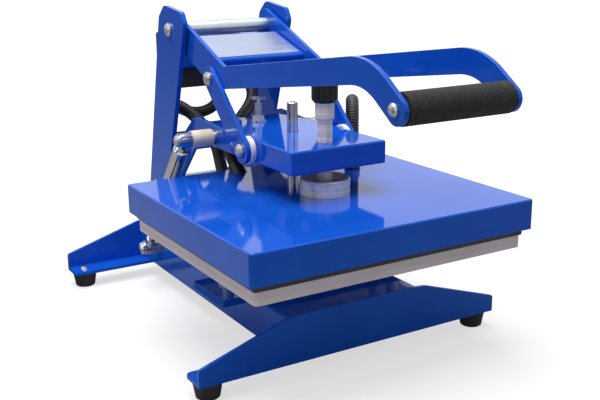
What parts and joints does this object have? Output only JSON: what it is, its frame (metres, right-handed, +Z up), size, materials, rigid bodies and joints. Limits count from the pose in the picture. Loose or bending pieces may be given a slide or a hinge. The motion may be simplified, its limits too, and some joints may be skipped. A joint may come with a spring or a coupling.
{
  "type": "heat press",
  "caption": "Clamshell heat press with a toggle lever, gas springs, a pressure screw and a flat heated platen over a fixed padded one.",
  "frame": {"origin": "under the middle of the whole machine's length and width, on the plane that its rubber feet stand on", "axes": "+X to the operator's right, +Y from the handle to the back of the machine, +Z up"},
  "size_m": [0.446, 0.6725, 0.4313],
  "materials": {
    "blue_paint": "glossy powder coat",
    "rubber": "matte",
    "zinc": "zinc plated",
    "black_steel": "satin",
    "pale_aluminium": "satin",
    "silicone": "matte",
    "heat_coating": "non-stick coating",
    "blanket": "fibre",
    "turned_steel": "turned",
    "chrome": "polished",
    "nylon": "smooth",
    "cream_nylon": "smooth",
    "black_plastic": "satin",
    "conduit": "satin",
    "foam": "matte foam",
    "bright_plate": "brushed"
  },
  "bodies": {
    "root": {"front_foot": "blue_paint", "rear_foot": "blue_paint", "base_channel": "blue_paint", "rubber_feet": "rubber", "base_screws": "zinc", "spring_bosses": "zinc", "platen_carrier": "blue_paint", "carrier_block": "black_steel", "platen_posts": "zinc", "lower_platen": "pale_aluminium", "silicone_pad": "silicone", "left_upright": "blue_paint", "right_upright": "blue_paint", "rear_brace": "blue_paint", "top_pivot_bolt": "zinc", "hinge_shaft": "zinc", "shaft_washers": "zinc", "box_bracket": "blue_paint", "control_box": "black_steel", "box_lid": "black_steel", "box_fittings": "black_plastic", "box_glands": "conduit", "heater_conduit": "conduit", "sensor_conduit": "conduit"},
    "rocker": {"rocker_switch": "black_plastic"},
    "dial": {"heat_dial": "black_plastic"},
    "head": {"head_arm": "blue_paint", "hinge_sleeve": "turned_steel", "spindle_nut": "black_steel", "guide_bush": "black_steel", "stop_bolt": "zinc", "link_studs": "zinc", "nylon_washers": "nylon", "spring_spacers": "cream_nylon", "spring_bolts": "zinc"},
    "platen": {"platen_cover": "blue_paint", "heat_platen": "heat_coating", "insulation_blanket": "blanket", "pressure_ring": "turned_steel", "guide_pin": "chrome", "cover_glands": "conduit", "cover_conduit": "conduit"},
    "spindle": {"spindle": "turned_steel", "pressure_knob": "black_plastic"},
    "lever": {"left_lever_plate": "blue_paint", "right_lever_plate": "blue_paint", "pivot_tube": "chrome", "lever_web": "blue_paint", "name_plate": "bright_plate", "lever_pins": "zinc", "grip_rod": "turned_steel", "foam_grip": "foam", "grip_bolts": "zinc"},
    "links": {"left_link": "blue_paint", "right_link": "blue_paint", "link_bolts": "zinc"},
    "spring_cylinders": {"left_spring_cylinder": "chrome", "right_spring_cylinder": "chrome"},
    "spring_rods": {"left_spring_rod": "chrome", "right_spring_rod": "chrome"}
  },
  "joints": [
    {"name": "head_hinge", "type": "hinge", "parent": "root", "child": "head", "pos_m": [0, 0.27525, 0.15], "axis": [-1, 0, 0], "range_deg": [0, 25], "deforming": ["heater_conduit", "sensor_conduit"]},
    {"name": "lever_hinge", "type": "hinge", "parent": "root", "child": "lever", "pos_m": [0, 0.20425, 0.398], "axis": [-1, 0, 0], "range_deg": [0, 64.88]},
    {"name": "link_hinge", "type": "hinge", "parent": "lever", "child": "links", "pos_m": [0, 0.08525, 0.341], "axis": [-1, 0, 0], "range_deg": [-95.4, 0]},
    {"name": "spring_hinge", "type": "hinge", "parent": "head", "child": "spring_cylinders", "pos_m": [0, 0.09825, 0.258], "axis": [-1, 0, 0], "range_deg": [-6.25, 0]},
    {"name": "spring_stroke", "type": "slide", "parent": "spring_cylinders", "child": "spring_rods", "axis": [0, 0.6203, -0.7844], "range_m": [0, 0.02682]},
    {"name": "platen_lift", "type": "slide", "parent": "head", "child": "platen", "axis": [0, 0, 1], "range_m": [0, 0.01]},
    {"name": "spindle_turn", "type": "hinge", "parent": "platen", "child": "spindle", "pos_m": [0, -0.07175, 0.309], "axis": [0, 0, 1], "range_deg": [0, 1440]},
    {"name": "switch_rocker", "type": "hinge", "parent": "root", "child": "rocker", "pos_m": [0.03, 0.31525, 0.326], "axis": [-1, 0, 0], "range_deg": [0, 16]},
    {"name": "dial_turn", "type": "hinge", "parent": "root", "child": "dial", "pos_m": [0.03, 0.31725, 0.36], "axis": [0, 1, 0], "range_deg": [0, 270]}
  ],
  "couplings": [
    {"joint": "lever_hinge", "follows": "head_hinge", "ratio": 2.595},
    {"joint": "link_hinge", "follows": "head_hinge", "ratio": -3.8161},
    {"joint": "spring_hinge", "follows": "head_hinge", "ratio": -0.25009},
    {"joint": "spring_stroke", "follows": "head_hinge", "m_per_rad": 0.061465},
    {"joint": "spindle_turn", "follows": "platen_lift", "rad_per_m": 2513.3}
  ]
}
